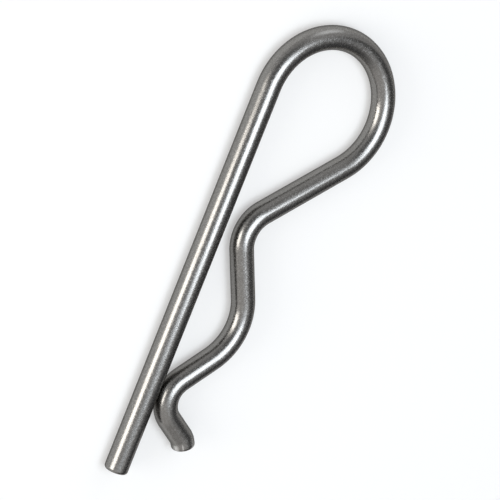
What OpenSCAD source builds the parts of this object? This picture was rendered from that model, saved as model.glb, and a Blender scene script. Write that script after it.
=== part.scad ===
// R clip: one length of round spring wire, bent flat into a straight leg, an eye and a sprung leg.
// The straight leg goes through the cross hole of a shaft, and the sprung leg's belly grips the
// shaft from outside. Frame: +X along the straight leg to its tip, +Y towards the sprung leg,
// +Z across the clip. The origin is on the straight leg's axis, at the centre of the gripped shaft.

/* [Wire] */
// Diameter of the round wire
wire_d = 4; // [3:0.1:5]
// Radius of the rounded rim on both cut ends
rim_r = 0.6; // [0.1:0.05:0.75]

/* [Shaft and grip] */
// Diameter of the shaft that the clip is made for
shaft_d = 20; // [16:0.5:26]
// How far the shaft springs the belly open
grip = 0.15; // [0:0.05:1]
// Reach of the straight leg past the centre of the shaft
tip_reach = 28.6; // [22:0.1:60]

/* [Eye] */
// Inside diameter of the eye
eye_id = 18.9; // [16:0.1:30]
// Angle of the shank to the straight leg, where it leaves the eye
shank_angle = 45.5; // [35:0.5:60]

/* [Throat] */
// Gap between the throat bend and the straight leg
throat_gap = 2.3; // [0.5:0.1:4]
// Inside radius of the throat bend
throat_r = 3.9; // [2:0.1:6]
// Angle of the flank to the straight leg, between throat and belly
flank_angle = 27; // [20:0.5:40]

/* [Belly] */
// Inside radius of the belly
belly_r = 7.9; // [5:0.1:11]
// Angle of the return to the straight leg, between belly and nip
return_angle = 41.5; // [35:0.5:50]

/* [Nip and lead-in] */
// Gap between the nip bend and the straight leg
nip_gap = 0.1; // [0.05:0.05:1.5]
// Inside radius of the nip bend
nip_r = 2.7; // [1.5:0.1:4]
// Angle of the lead-in to the straight leg
lead_angle = 55.5; // [45:0.5:70]
// Straight length of the lead-in
lead_len = 3.9; // [1:0.1:10]
// Inside radius of the bend at the end of the lead-in
toe_r = 1.1; // [0.5:0.1:4]
// Angle of the cut end to the straight leg
toe_angle = 32; // [20:0.5:40]
// Straight length from the last bend to the cut end
toe_len = 1; // [0.8:0.1:6]

/* [Hidden] */
$fn = 56;

// Degrees between the turns that are tried for a bend, how many on each side, and digits of their sines
fine_step = 0.00001;
fine_steps = 300;
digits = 6;

// Radius of each bend, on the centre line of the wire
wire_r = wire_d / 2;
eye_bend = eye_id / 2 + wire_r;
throat_bend = throat_r + wire_r;
belly_bend = belly_r + wire_r;
nip_bend = nip_r + wire_r;
toe_bend = toe_r + wire_r;

// Angle that the wire turns through in each bend, and the slope to the straight leg that it leaves
eye_turn = fine_turn(180 + shank_angle);
shank_slope = eye_turn - 180;
throat_turn = fine_turn(shank_slope + flank_angle);
flank_slope = throat_turn - shank_slope;
belly_turn = fine_turn(flank_slope + return_angle);
return_slope = belly_turn - flank_slope;
nip_turn = fine_turn(return_slope + lead_angle);
lead_slope = nip_turn - return_slope;
toe_turn = fine_turn(lead_slope - toe_angle);

// Distance from the straight leg's axis to the sprung leg's centre line
eye_exit_y = eye_bend * (1 + cos(shank_slope));
throat_y = wire_d + throat_gap;
belly_y = shaft_d / 2 - grip + wire_r;
nip_y = wire_d + nip_gap;

// Straight runs that carry the sprung leg from one of these distances to the next
shank_len = run_between(eye_exit_y - throat_y, shank_slope, throat_bend);
flank_len = run_between(belly_y - throat_y, flank_slope, throat_bend + belly_bend);
return_len = run_between(belly_y - nip_y, return_slope, belly_bend + nip_bend);

// Length of the straight leg, from the start of the eye to the cut tip
seat_from_eye = eye_bend * sin(shank_slope) + shank_len * cos(shank_slope)
    + throat_bend * (sin(shank_slope) + sin(flank_slope))
    + flank_len * cos(flank_slope) + belly_bend * sin(flank_slope);
leg_len = seat_from_eye + tip_reach;

// Straight length of a slanted run that climbs a height together with the bends at its ends.
function run_between(height, slope, bends) = (height - bends * (1 - cos(slope))) / sin(slope);

// The turn, within a few thousandths of a degree of an angle, whose rounded sine and cosine come nearest
// to a unit vector, so that the wire keeps its section from each bend to the next run.
function fine_turn(angle) =
    let (tries = [for (step = [-fine_steps:fine_steps]) angle + step * fine_step])
    let (errors = [for (t = tries) abs(norm([rounded(cos(t)), rounded(sin(t))]) - 1)])
    tries[search(min(errors), errors)[0]];
function rounded(x) =
    let (unit = x == 0 ? 1 : pow(10, floor(log(abs(x))) + 1 - digits))
    round(x / unit) * unit;

// Straight wire along +X, with what follows it at its far end.
module run(len) {
    rotate([0, 90, 0]) cylinder(d = wire_d, h = len);
    translate([len, 0, 0]) children();
}

// Wire that starts along +X and turns to the left, or to the right if turn is negative. It is a
// full ring less what lies before its start and past its end. What follows it is at its far end.
module bend(radius, turn) {
    centre = [0, sign(turn) * radius, 0];
    block = 2 * (radius + wire_d);
    module before() translate(centre)
        translate([-block, -block / 2, -block / 2]) cube(block);
    module past() translate(centre) rotate([0, 0, turn])
        translate([0, -block / 2, -block / 2]) cube(block);
    difference() {
        translate(centre) rotate_extrude() translate([radius, 0]) circle(d = wire_d);
        if (abs(turn) > 180) intersection() {
            before();
            past();
        } else {
            before();
            past();
        }
    }
    translate(centre) rotate([0, 0, turn]) translate(-centre) children();
}

// Straight wire along +X with a flat cut end and a rounded rim.
module cut_run(len) {
    rim = [wire_r - rim_r, len - rim_r];
    rotate([0, 90, 0]) rotate_extrude() difference() {
        square([wire_r, len]);
        difference() {
            translate(rim) square(wire_d);
            translate(rim) circle(r = rim_r);
        }
    }
}

// The sprung leg from the start of the eye to its cut end, in the order in which it is bent.
module sprung_leg() {
    bend(eye_bend, -eye_turn)
    run(shank_len)
    bend(throat_bend, throat_turn)
    run(flank_len)
    bend(belly_bend, -belly_turn)
    run(return_len)
    bend(nip_bend, nip_turn)
    run(lead_len)
    bend(toe_bend, -toe_turn)
    cut_run(toe_len);
}

module clip_wire() {
    color([0.62, 0.61, 0.6]) translate([-seat_from_eye, 0, 0]) {
        cut_run(leg_len);
        rotate([0, 0, 180]) sprung_leg();
    }
}

clip_wire();
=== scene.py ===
"""Looks of a spring wire R clip, on a pale floor in soft studio light.

The wire is swept along its bent centre line and stands for the CAD wire. It gets a drawn and tumbled
steel finish, and its two cut ends a sheared one. All lengths are in metres, in the frame of the CAD part:
+X along the straight leg to its tip, +Y towards the sprung leg, +Z across the flat clip.
"""

import logging
import math
from dataclasses import dataclass
from enum import Enum, IntEnum
from typing import Union

import bmesh
import bpy
from mathutils import Matrix, Vector


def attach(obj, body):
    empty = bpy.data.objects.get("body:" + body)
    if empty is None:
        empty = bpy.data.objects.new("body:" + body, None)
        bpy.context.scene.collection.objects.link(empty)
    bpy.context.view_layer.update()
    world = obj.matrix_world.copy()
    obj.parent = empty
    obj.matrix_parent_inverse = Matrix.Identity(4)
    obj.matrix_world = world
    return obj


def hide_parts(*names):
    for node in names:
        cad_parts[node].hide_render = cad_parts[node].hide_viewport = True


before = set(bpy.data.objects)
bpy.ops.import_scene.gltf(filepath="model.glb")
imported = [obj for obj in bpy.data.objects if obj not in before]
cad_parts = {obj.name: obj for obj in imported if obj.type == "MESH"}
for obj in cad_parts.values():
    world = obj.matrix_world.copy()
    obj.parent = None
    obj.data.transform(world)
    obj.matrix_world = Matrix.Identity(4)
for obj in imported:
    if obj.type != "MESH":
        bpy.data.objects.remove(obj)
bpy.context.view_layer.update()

MM = 0.001
WIRE_UV = "along_and_around"
HALF_TURN = 0.5
Colour = tuple[float, float, float]
Point = tuple[float, float, float]
Socket = bpy.types.NodeSocket
log = logging.getLogger("clip")


class Side(Enum):
    """The side to which the wire turns in a bend, seen from +Z and along the wire."""

    LEFT = 1
    RIGHT = -1


class Coat(IntEnum):
    """The material slots of the wire."""

    DRAWN = 0
    SHEARED = 1


@dataclass(frozen=True)
class Run:
    """A straight run of wire."""

    length: float


@dataclass(frozen=True)
class Bend:
    """A round bend of the wire's centre line."""

    radius: float
    angle: float
    side: Side

    @property
    def length(self) -> float:
        """Length along the centre line."""
        return self.radius * self.angle


Step = Union[Run, Bend]


@dataclass(frozen=True)
class Place:
    """A point of the flat centre line, with the heading of the wire there."""

    point: Vector
    heading: float

    @property
    def ahead(self) -> Vector:
        """Unit vector along the wire."""
        return Vector((math.cos(self.heading), math.sin(self.heading), 0.0))

    @property
    def left(self) -> Vector:
        """Unit vector to the left of the wire."""
        return Vector((-math.sin(self.heading), math.cos(self.heading), 0.0))

    def centre_of(self, bend: Bend) -> Vector:
        """Centre of a bend that starts here.

        Args:
            bend: The bend.

        Returns:
            The centre of its circle.
        """
        return self.point + self.left * (bend.radius * bend.side.value)

    def after(self, step: Step) -> "Place":
        """Place at the far end of a run or bend that starts here.

        Args:
            step: The run or bend.

        Returns:
            The place where it ends.
        """
        if isinstance(step, Run):
            return Place(self.point + self.ahead * step.length, self.heading)
        centre = self.centre_of(step)
        turn = step.side.value * step.angle
        arm = Matrix.Rotation(turn, 3, "Z") @ (self.point - centre)
        return Place(centre + arm, self.heading + turn)


@dataclass(frozen=True)
class WirePath:
    """The wire's centre line: a start and the runs and bends that follow it."""

    start: Place
    steps: tuple[Step, ...]

    @property
    def length(self) -> float:
        """Length of the whole wire."""
        return sum(step.length for step in self.steps)

    def locate(self, point: Vector) -> tuple[float, float]:
        """Finds a surface point along and around the wire.

        Args:
            point: A point on the wire's surface.

        Returns:
            The distance along the centre line, and the share of a full turn around it.
        """
        best = (math.inf, 0.0, 0.0)
        place = self.start
        passed = 0.0
        for step in self.steps:
            if isinstance(step, Run):
                gone = min(max((point - place.point).dot(place.ahead), 0.0), step.length)
                here = Place(place.point + place.ahead * gone, place.heading)
            else:
                centre = place.centre_of(step)
                arm = place.point - centre
                seen = point - centre
                turned = math.atan2(arm.cross(seen).z, arm.to_2d().dot(seen.to_2d())) * step.side.value
                turned = turned % math.tau
                if turned > step.angle:
                    turned = step.angle if turned < (step.angle + math.tau) / 2 else 0.0
                here = place.after(Bend(step.radius, turned, step.side))
                gone = turned * step.radius
            off = point - here.point
            if off.length < best[0]:
                share = math.atan2(off.z, off.dot(here.left)) / math.tau
                best = (off.length, passed + gone, share % 1.0)
            passed += step.length
            place = place.after(step)
        return best[1], best[2]


@dataclass(frozen=True)
class Noise:
    """A noise pattern: its cells per unit, the number of finer octaves and their weight."""

    scale: float
    detail: float
    roughness: float


@dataclass(frozen=True)
class Ramp:
    """A range of values, and the results at its low and high end."""

    low: float
    high: float
    to_low: float
    to_high: float


@dataclass(frozen=True)
class Relief:
    """A fine relief: how strongly it shows, and how deep it is."""

    strength: float
    depth: float


class ShaderTree:
    """A node tree that is filled by short calls."""

    COLOURS_IN = (6, 7)
    COLOUR_OUT = 2

    def __init__(self, tree: bpy.types.NodeTree) -> None:
        """Empties a tree.

        Args:
            tree: The node tree of a material or world.
        """
        self.tree = tree
        tree.nodes.clear()

    def node(
        self, kind: str, sockets: dict[Union[str, int], object] | None = None, **settings: object
    ) -> bpy.types.Node:
        """Adds a node.

        Args:
            kind: The node's type name.
            sockets: Input name or number, with its value or the output that feeds it.
            settings: Properties of the node.

        Returns:
            The new node.
        """
        made = self.tree.nodes.new(kind)
        for name, value in settings.items():
            setattr(made, name, value)
        for name, value in (sockets or {}).items():
            if isinstance(value, Socket):
                self.tree.links.new(value, made.inputs[name])
            else:
                made.inputs[name].default_value = value
        return made

    def math(self, kind: str, first: object, second: object = 0.0) -> Socket:
        """Adds a sum, product or other function of one or two numbers.

        Args:
            kind: The operation.
            first: A number or an output.
            second: A number or an output.

        Returns:
            The result's socket.
        """
        return self.node("ShaderNodeMath", {0: first, 1: second}, operation=kind).outputs[0]

    def noise(self, vector: Socket, kind: Noise) -> Socket:
        """Adds a noise pattern.

        Args:
            vector: Where the pattern is read.
            kind: The pattern's scale and octaves.

        Returns:
            The pattern's value, from 0 to 1.
        """
        return self.node("ShaderNodeTexNoise", {
            "Vector": vector, "Scale": kind.scale, "Detail": kind.detail, "Roughness": kind.roughness,
        }).outputs[0]

    def spread(self, value: Socket, ramp: Ramp, smooth: bool = False) -> Socket:
        """Maps a range of values to another, and holds it there.

        Args:
            value: The value.
            ramp: Its range and the results at the ends.
            smooth: Whether the result eases in and out at the ends.

        Returns:
            The mapped value's socket.
        """
        return self.node("ShaderNodeMapRange", {
            "Value": value, "From Min": ramp.low, "From Max": ramp.high,
            "To Min": ramp.to_low, "To Max": ramp.to_high,
        }, interpolation_type="SMOOTHSTEP" if smooth else "LINEAR").outputs[0]

    def blend(self, factor: Socket, first: object, second: object) -> Socket:
        """Mixes two colours.

        Args:
            factor: Share of the second colour.
            first: A colour or an output.
            second: A colour or an output.

        Returns:
            The mixed colour's socket.
        """
        made = self.node("ShaderNodeMix", {"Factor": factor}, data_type="RGBA")
        for slot, value in zip(self.COLOURS_IN, (first, second)):
            if isinstance(value, Socket):
                self.tree.links.new(value, made.inputs[slot])
            else:
                made.inputs[slot].default_value = (*value, 1.0)
        return made.outputs[self.COLOUR_OUT]

    def bump(self, height: Socket, relief: Relief) -> Socket:
        """Adds a fine relief.

        Args:
            height: The pattern that is raised.
            relief: Its strength and depth.

        Returns:
            The socket of the changed normal.
        """
        return self.node("ShaderNodeBump", {
            "Strength": relief.strength, "Distance": relief.depth, "Height": height,
        }).outputs[0]


def new_material(name: str) -> tuple[bpy.types.Material, ShaderTree]:
    """Makes an empty material.

    Args:
        name: The material's name.

    Returns:
        The material and its empty tree.
    """
    material = bpy.data.materials.new(name)
    material.use_nodes = True
    return material, ShaderTree(material.node_tree)


@dataclass(frozen=True)
class DrawnSteel:
    """Steel wire with the grain of a tumbled surface, faint die lines and pinch marks at the bent toe.

    Grain, specks and patches are read in metres. Lines and streaks run along the wire: they are read round
    it, and stretch times as fast along it. The toe is the range, in circumferences from the sprung leg's
    end, over which the pinch marks fade out.
    """

    pale: Colour = (0.291, 0.282, 0.270)
    dull: Colour = (0.187, 0.180, 0.170)
    edge: Colour = (0.34, 0.34, 0.34)
    mark: Colour = (0.66, 0.65, 0.63)
    stretch: float = 0.12
    lines: Noise = Noise(12.0, 5.0, 0.6)
    grain: Noise = Noise(5600.0, 1.0, 0.5)
    speck: Noise = Noise(3800.0, 3.0, 0.7)
    patch: Noise = Noise(260.0, 3.0, 0.5)
    streak: Noise = Noise(3.4, 2.0, 0.5)
    speck_tone: Ramp = Ramp(0.3, 0.7, 0.0, 1.0)
    line_tone: Ramp = Ramp(0.34, 0.5, 0.5, 0.0)
    toe: Ramp = Ramp(0.08, 0.17, 1.0, 0.0)
    streak_tone: Ramp = Ramp(0.53, 0.6, 0.0, 0.8)
    grain_share: float = 0.6
    patch_share: float = 0.4
    gloss: Ramp = Ramp(0.35, 0.65, 0.18, 0.24)
    speck_gloss: Ramp = Ramp(0.5, 0.68, 0.0, 0.19)
    relief: Relief = Relief(0.14, 0.06 * MM)

    def material(self) -> bpy.types.Material:
        """Makes the material.

        Returns:
            The finished material.
        """
        made, tree = new_material("drawn_steel")
        here = tree.node("ShaderNodeTexCoord").outputs["Object"]
        laid = tree.node("ShaderNodeUVMap", uv_map=WIRE_UV).outputs[0]
        wire = tree.node("ShaderNodeSeparateXYZ", {0: laid}).outputs
        turn = tree.math("MULTIPLY", wire["X"], math.tau)
        around = tree.node("ShaderNodeCombineXYZ", {
            "X": tree.math("COSINE", turn),
            "Y": tree.math("SINE", turn),
            "Z": tree.math("MULTIPLY", wire["Y"], self.stretch),
        }).outputs[0]
        grain = tree.noise(here, self.grain)
        speck = tree.noise(here, self.speck)
        patch = tree.noise(here, self.patch)
        colour = tree.blend(tree.spread(speck, self.speck_tone), self.dull, self.pale)
        lines = tree.spread(tree.noise(around, self.lines), self.line_tone)
        colour = tree.blend(lines, colour, self.dull)
        toe = tree.spread(wire["Y"], self.toe, smooth=True)
        streak = tree.spread(tree.noise(around, self.streak), self.streak_tone)
        colour = tree.blend(tree.math("MULTIPLY", toe, streak), colour, self.mark)
        fine = tree.math("MULTIPLY", grain, self.grain_share)
        coarse = tree.math("MULTIPLY", patch, self.patch_share)
        gloss = tree.spread(tree.math("ADD", fine, coarse), self.gloss)
        gloss = tree.math("ADD", gloss, tree.spread(speck, self.speck_gloss))
        shader = tree.node("ShaderNodeBsdfPrincipled", {
            "Base Color": colour, "Roughness": gloss, "Normal": tree.bump(grain, self.relief),
            "Metallic": 1.0, "Specular Tint": (*self.edge, 1.0),
        })
        tree.node("ShaderNodeOutputMaterial", {0: shader.outputs[0]})
        return made


@dataclass(frozen=True)
class ShearedSteel:
    """The cut end of the wire, with the marks of the shear across it, drawn out in the clip's plane."""

    tone: Colour = (0.35, 0.34, 0.33)
    dull: Colour = (0.20, 0.195, 0.187)
    drawn: Point = (0.2, 0.2, 1.0)
    marks: Noise = Noise(5200.0, 3.0, 0.6)
    mark_tone: Ramp = Ramp(0.35, 0.65, 0.0, 1.0)
    mark_gloss: Ramp = Ramp(0.3, 0.7, 0.5, 0.34)
    relief: Relief = Relief(0.4, 0.04 * MM)

    def material(self) -> bpy.types.Material:
        """Makes the material.

        Returns:
            The finished material.
        """
        made, tree = new_material("sheared_steel")
        here = tree.node("ShaderNodeTexCoord").outputs["Object"]
        drawn = tree.node("ShaderNodeMapping", {"Vector": here, "Scale": self.drawn}).outputs[0]
        marks = tree.noise(drawn, self.marks)
        colour = tree.blend(tree.spread(marks, self.mark_tone), self.dull, self.tone)
        gloss = tree.spread(marks, self.mark_gloss)
        shader = tree.node("ShaderNodeBsdfPrincipled", {
            "Base Color": colour, "Roughness": gloss, "Normal": tree.bump(marks, self.relief),
            "Metallic": 1.0,
        })
        tree.node("ShaderNodeOutputMaterial", {0: shader.outputs[0]})
        return made


@dataclass(frozen=True)
class FloorPaint:
    """Matt white paint of the studio floor, which fades to plain white away from the clip.

    The fade gives the share of plain white that the camera and the metal see, by the distance in metres.
    """

    tone: Colour = (0.85, 0.84, 0.82)
    mottle: Colour = (0.84, 0.83, 0.81)
    white: Colour = (1.0, 1.0, 1.0)
    patches: Noise = Noise(6.0, 2.0, 0.5)
    roughness: float = 0.9
    fade: Ramp = Ramp(0.08, 0.35, 0.4, 1.0)

    def material(self) -> bpy.types.Material:
        """Makes the material.

        Returns:
            The finished material.
        """
        made, tree = new_material("floor_paint")
        here = tree.node("ShaderNodeTexCoord").outputs["Object"]
        colour = tree.blend(tree.noise(here, self.patches), self.tone, self.mottle)
        lit = tree.node("ShaderNodeBsdfPrincipled", {
            "Base Color": colour, "Roughness": self.roughness, "Specular IOR Level": 0.0,
        })
        ray = tree.node("ShaderNodeLightPath").outputs
        seen = tree.math("MAXIMUM", ray["Is Camera Ray"], ray["Is Glossy Ray"])
        seen = tree.math("MAXIMUM", seen, ray["Is Transmission Ray"])
        white = tree.node("ShaderNodeEmission", {"Color": (*self.white, 1.0), "Strength": 1.0})
        away = tree.node("ShaderNodeVectorMath", {0: here}, operation="LENGTH").outputs["Value"]
        share = tree.math("MULTIPLY", seen, tree.spread(away, self.fade))
        shader = tree.node("ShaderNodeMixShader", {0: share, 1: lit.outputs[0], 2: white.outputs[0]})
        tree.node("ShaderNodeOutputMaterial", {0: shader.outputs[0]})
        return made


@dataclass
class ClipWire:
    """The whole clip: one wire, from the tip of the straight leg to the end of the sprung leg."""

    wire_d: float = 4.0 * MM
    rim_r: float = 0.6 * MM
    shaft_d: float = 20.0 * MM
    grip: float = 0.15 * MM
    tip_reach: float = 28.6 * MM
    eye_id: float = 18.9 * MM
    shank_angle: float = math.radians(45.5)
    throat_gap: float = 2.3 * MM
    throat_r: float = 3.9 * MM
    flank_angle: float = math.radians(27.0)
    belly_r: float = 7.9 * MM
    return_angle: float = math.radians(41.5)
    nip_gap: float = 0.1 * MM
    nip_r: float = 2.7 * MM
    lead_angle: float = math.radians(55.5)
    lead_len: float = 3.9 * MM
    toe_r: float = 1.1 * MM
    toe_angle: float = math.radians(32.0)
    toe_len: float = 1.0 * MM
    sides: int = 64
    facet: float = math.radians(3.0)
    least_facets: int = 2
    rim_steps: int = 8
    rim_round: float = 0.5

    @staticmethod
    def run_between(height: float, slope: float, bends: float) -> float:
        """Length of a slanted run that climbs a height together with the bends at its ends.

        Args:
            height: Height of the whole climb.
            slope: Angle of the run.
            bends: Sum of the radii of the two bends.

        Returns:
            The straight length.
        """
        return (height - bends * (1.0 - math.cos(slope))) / math.sin(slope)

    def path(self) -> WirePath:
        """Lays out the centre line.

        Returns:
            The path from the tip of the straight leg to the end of the sprung leg.
        """
        half = self.wire_d / 2
        eye, throat, belly = self.eye_id / 2 + half, self.throat_r + half, self.belly_r + half
        nip, toe = self.nip_r + half, self.toe_r + half
        shank_a, flank_a, return_a = self.shank_angle, self.flank_angle, self.return_angle
        eye_exit = eye * (1.0 + math.cos(shank_a))
        throat_y = self.wire_d + self.throat_gap
        belly_y = self.shaft_d / 2 - self.grip + half
        nip_y = self.wire_d + self.nip_gap
        shank = self.run_between(eye_exit - throat_y, shank_a, throat)
        flank = self.run_between(belly_y - throat_y, flank_a, throat + belly)
        back = self.run_between(belly_y - nip_y, return_a, belly + nip)
        seat = eye * math.sin(shank_a) + shank * math.cos(shank_a) + flank * math.cos(flank_a)
        seat += throat * (math.sin(shank_a) + math.sin(flank_a)) + belly * math.sin(flank_a)
        return WirePath(Place(Vector((self.tip_reach, 0.0, 0.0)), math.pi), (
            Run(seat + self.tip_reach),
            Bend(eye, math.pi + shank_a, Side.RIGHT),
            Run(shank),
            Bend(throat, shank_a + flank_a, Side.LEFT),
            Run(flank),
            Bend(belly, flank_a + return_a, Side.RIGHT),
            Run(back),
            Bend(nip, return_a + self.lead_angle, Side.LEFT),
            Run(self.lead_len),
            Bend(toe, self.lead_angle - self.toe_angle, Side.RIGHT),
            Run(self.toe_len),
        ))

    def sweep(self, mesh: bmesh.types.BMesh, path: WirePath) -> None:
        """Draws the wire's round section along its path, with both ends closed and rounded.

        Args:
            mesh: The empty mesh.
            path: The centre line.
        """
        stand = Matrix.Translation(path.start.point) @ Matrix.Rotation(math.pi / 2, 4, "Y")
        half = self.wire_d / 2
        bmesh.ops.create_circle(mesh, cap_ends=True, segments=self.sides, radius=half, matrix=stand)
        first = list(mesh.edges)
        ring = first
        place = path.start
        for step in path.steps:
            if isinstance(step, Run):
                grown = bmesh.ops.extrude_edge_only(mesh, edges=ring)["geom"]
                moved = [item for item in grown if isinstance(item, bmesh.types.BMVert)]
                bmesh.ops.translate(mesh, verts=moved, vec=place.ahead * step.length)
                held = set(moved)
                edges = [item for item in grown if isinstance(item, bmesh.types.BMEdge)]
                ring = [edge for edge in edges if held.issuperset(edge.verts)]
            else:
                turned = bmesh.ops.spin(
                    mesh, geom=ring, cent=place.centre_of(step), axis=(0.0, 0.0, 1.0),
                    angle=step.side.value * step.angle,
                    steps=max(self.least_facets, round(step.angle / self.facet)),
                )["geom_last"]
                ring = [item for item in turned if isinstance(item, bmesh.types.BMEdge)]
            place = place.after(step)
        bmesh.ops.edgeloop_fill(mesh, edges=ring)
        bmesh.ops.bevel(
            mesh, geom=first + ring, offset=self.rim_r, offset_type="OFFSET", affect="EDGES",
            segments=self.rim_steps, profile=self.rim_round, material=-1,
        )
        bmesh.ops.recalc_face_normals(mesh, faces=mesh.faces)

    def lay_uv(self, mesh: bmesh.types.BMesh, path: WirePath) -> None:
        """Maps the surface: U is the share of a turn around the wire, V the length to the sprung leg's end.

        V counts circumferences, so that a pattern keeps its shape on the surface.

        Args:
            mesh: The swept mesh.
            path: The centre line.
        """
        layer = mesh.loops.layers.uv.new(WIRE_UV)
        girth = math.pi * self.wire_d
        found = {vert: path.locate(vert.co) for vert in mesh.verts}
        total = path.length
        for face in mesh.faces:
            shares = [found[loop.vert][1] for loop in face.loops]
            wraps = max(shares) - min(shares) > HALF_TURN
            for loop, share in zip(face.loops, shares):
                left = total - found[loop.vert][0]
                loop[layer].uv = (share + (1.0 if wraps and share < HALF_TURN else 0.0), left / girth)

    def build(self) -> bpy.types.Object:
        """Makes the wire's mesh.

        Returns:
            The wire's object, at the origin.
        """
        path = self.path()
        swept = bmesh.new()
        self.sweep(swept, path)
        self.lay_uv(swept, path)
        for face in swept.faces:
            face.smooth = True
            face.material_index = Coat.SHEARED if len(face.verts) == self.sides else Coat.DRAWN
        data = bpy.data.meshes.new("clip_body")
        swept.to_mesh(data)
        swept.free()
        made = bpy.data.objects.new("clip_body", data)
        bpy.context.scene.collection.objects.link(made)
        return made

    def dress(self, made: bpy.types.Object, wire: DrawnSteel, ends: ShearedSteel) -> None:
        """Gives the wire its finishes and its place in the frame.

        Args:
            made: The wire's object.
            wire: Finish of the drawn surface.
            ends: Finish of the cut ends.
        """
        made.data.materials.append(wire.material())
        made.data.materials.append(ends.material())
        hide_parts("clip_wire")
        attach(made, "root")


def direction(azimuth: float, elevation: float) -> Vector:
    """Unit vector to a point of the room.

    Args:
        azimuth: Angle from +X to +Y, in degrees.
        elevation: Angle above the floor, in degrees.

    Returns:
        The vector from the clip to that point.
    """
    turn, rise = math.radians(azimuth), math.radians(elevation)
    return Vector((math.cos(turn) * math.cos(rise), math.sin(turn) * math.cos(rise), math.sin(rise)))


@dataclass(frozen=True)
class SoftBox:
    """A soft box: its direction from the clip, width and height in degrees, its distance and its light."""

    name: str
    azimuth: float
    elevation: float
    wide: float
    high: float
    far: float
    radiance: float
    tint: Colour

    def hang(self, aim: Vector) -> None:
        """Makes the lamp and turns it to a point.

        Args:
            aim: The point that it faces.
        """
        data = bpy.data.lights.new(self.name, "AREA")
        data.shape = "RECTANGLE"
        data.size = 2.0 * self.far * math.tan(math.radians(self.wide / 2))
        data.size_y = 2.0 * self.far * math.tan(math.radians(self.high / 2))
        data.energy = self.radiance * math.pi * data.size * data.size_y
        data.color = self.tint
        made = bpy.data.objects.new(self.name, data)
        toward = direction(self.azimuth, self.elevation)
        made.location = aim + toward * self.far
        made.rotation_euler = (-toward).to_track_quat("-Z", "Y").to_euler()
        bpy.context.scene.collection.objects.link(made)


@dataclass(frozen=True)
class Patch:
    """A round part of the room with a level of its own, which fades into the rest, in degrees."""

    azimuth: float
    elevation: float
    core: float
    fade: float
    level: Colour


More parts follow.
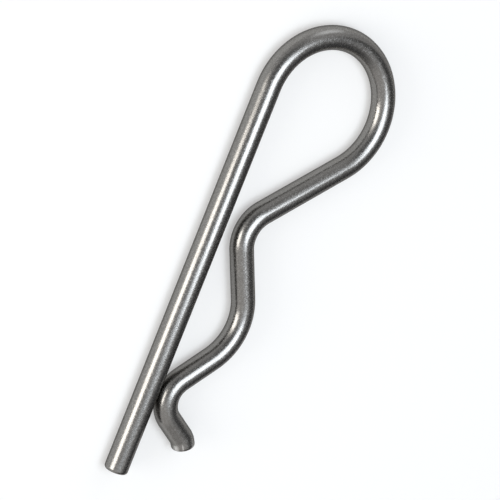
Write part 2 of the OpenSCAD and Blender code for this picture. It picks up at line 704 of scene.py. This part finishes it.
@dataclass
class Studio:
    """Floor, surroundings and lamps."""

    floor_z: float = -2.0 * MM
    floor_half: float = 2.5
    wall_height: float = 0.1
    aim: Point = (-0.0115, 0.0115, 0.0)
    room: Colour = (0.65, 0.655, 0.665)
    patches: tuple[Patch, ...] = (
        Patch(-3.5, 11.0, 56.0, 66.0, (0.885, 0.88, 0.88)),
        Patch(56.0, -2.0, 29.0, 69.5, (0.118, 0.121, 0.127)),
        Patch(107.0, 39.5, 0.0, 27.0, (0.130, 0.133, 0.138)),
        Patch(174.0, 18.5, 0.0, 20.0, (1.88, 1.95, 2.03)),
        Patch(230.0, 86.3, 22.0, 29.0, (1.02, 1.09, 1.17)),
        Patch(-125.0, 54.0, 0.0, 36.0, (0.235, 0.24, 0.248)),
        Patch(-91.0, 13.0, 6.5, 12.0, (2.08, 2.04, 1.98)),
    )
    lamps: tuple[SoftBox, ...] = (
        SoftBox("top_box", 166.0, 85.0, 37.0, 27.7, 0.4, 5.1, (0.86, 0.925, 1.0)),
        SoftBox("top_spill", -4.0, 80.0, 24.0, 6.5, 0.4, 3.6, (0.86, 0.925, 1.0)),
        SoftBox("front_box", -72.8, 16.9, 28.5, 30.2, 0.6, 5.0, (1.0, 0.98, 0.945)),
    )

    def build(self) -> None:
        """Makes the floor, the surroundings and the lamps."""
        self.lay_floor(FloorPaint())
        self.light_room()
        for lamp in self.lamps:
            lamp.hang(Vector(self.aim))

    def lay_floor(self, paint: FloorPaint) -> None:
        """Lays the floor under the clip, with a low wall round its far edge.

        Args:
            paint: The floor's finish.
        """
        sheet = bmesh.new()
        level = Matrix.Translation((0.0, 0.0, self.floor_z))
        bmesh.ops.create_grid(sheet, x_segments=1, y_segments=1, size=self.floor_half, matrix=level)
        wall = bmesh.ops.extrude_edge_only(sheet, edges=list(sheet.edges))["geom"]
        top = [item for item in wall if isinstance(item, bmesh.types.BMVert)]
        bmesh.ops.translate(sheet, verts=top, vec=(0.0, 0.0, self.wall_height))
        data = bpy.data.meshes.new("floor")
        sheet.to_mesh(data)
        sheet.free()
        floor = bpy.data.objects.new("floor", data)
        floor.data.materials.append(paint.material())
        bpy.context.scene.collection.objects.link(floor)

    def light_room(self) -> None:
        """Lights the surroundings, with their paler and darker parts."""
        world = bpy.data.worlds.new("room")
        world.use_nodes = True
        tree = ShaderTree(world.node_tree)
        ray = tree.node("ShaderNodeTexCoord").outputs["Generated"]
        level: object = self.room
        for patch in self.patches:
            sockets = {0: ray, 1: direction(patch.azimuth, patch.elevation)}
            cosine = tree.node("ShaderNodeVectorMath", sockets, operation="DOT_PRODUCT").outputs["Value"]
            rim, core = math.cos(math.radians(patch.fade)), math.cos(math.radians(patch.core))
            share = tree.spread(cosine, Ramp(rim, core, 0.0, 1.0), smooth=True)
            level = tree.blend(share, level, patch.level)
        shade = tree.node("ShaderNodeBackground", {"Color": level, "Strength": 1.0})
        tree.node("ShaderNodeOutputWorld", {0: shade.outputs[0]})
        bpy.context.scene.world = world


@dataclass(frozen=True)
class PhotoCamera:
    """The camera: where it stands, what it looks at, which way is up in its picture, and how far it sees."""

    place: Point = (-0.048173, -0.168814, 0.252205)
    aim: Point = (-0.012475, 0.008439, 0.0)
    up: Point = (-0.92142, -0.244329, -0.30214)
    lens: float = 137.93
    sensor: float = 36.0
    near: float = 0.01
    far: float = 10.0

    def build(self) -> None:
        """Makes the scene's camera."""
        data = bpy.data.cameras.new("camera")
        data.lens = self.lens
        data.sensor_width = self.sensor
        data.clip_start = self.near
        data.clip_end = self.far
        made = bpy.data.objects.new("camera", data)
        back = (Vector(self.place) - Vector(self.aim)).normalized()
        right = Vector(self.up).cross(back).normalized()
        turn = Matrix((right, back.cross(right), back)).transposed()
        made.matrix_world = Matrix.Translation(self.place) @ turn.to_4x4()
        bpy.context.scene.collection.objects.link(made)
        bpy.context.scene.camera = made


def main() -> None:
    """Builds the clip, its studio and the camera."""
    logging.basicConfig(level=logging.INFO, format="%(name)s: %(message)s")
    bpy.context.scene.view_settings.view_transform = "Standard"
    clip = ClipWire()
    body = clip.build()
    clip.dress(body, DrawnSteel(), ShearedSteel())
    log.info("%s: %d faces", body.name, len(body.data.polygons))
    Studio().build()
    PhotoCamera().build()
    bpy.context.view_layer.update()


if __name__ == "__main__":
    main()
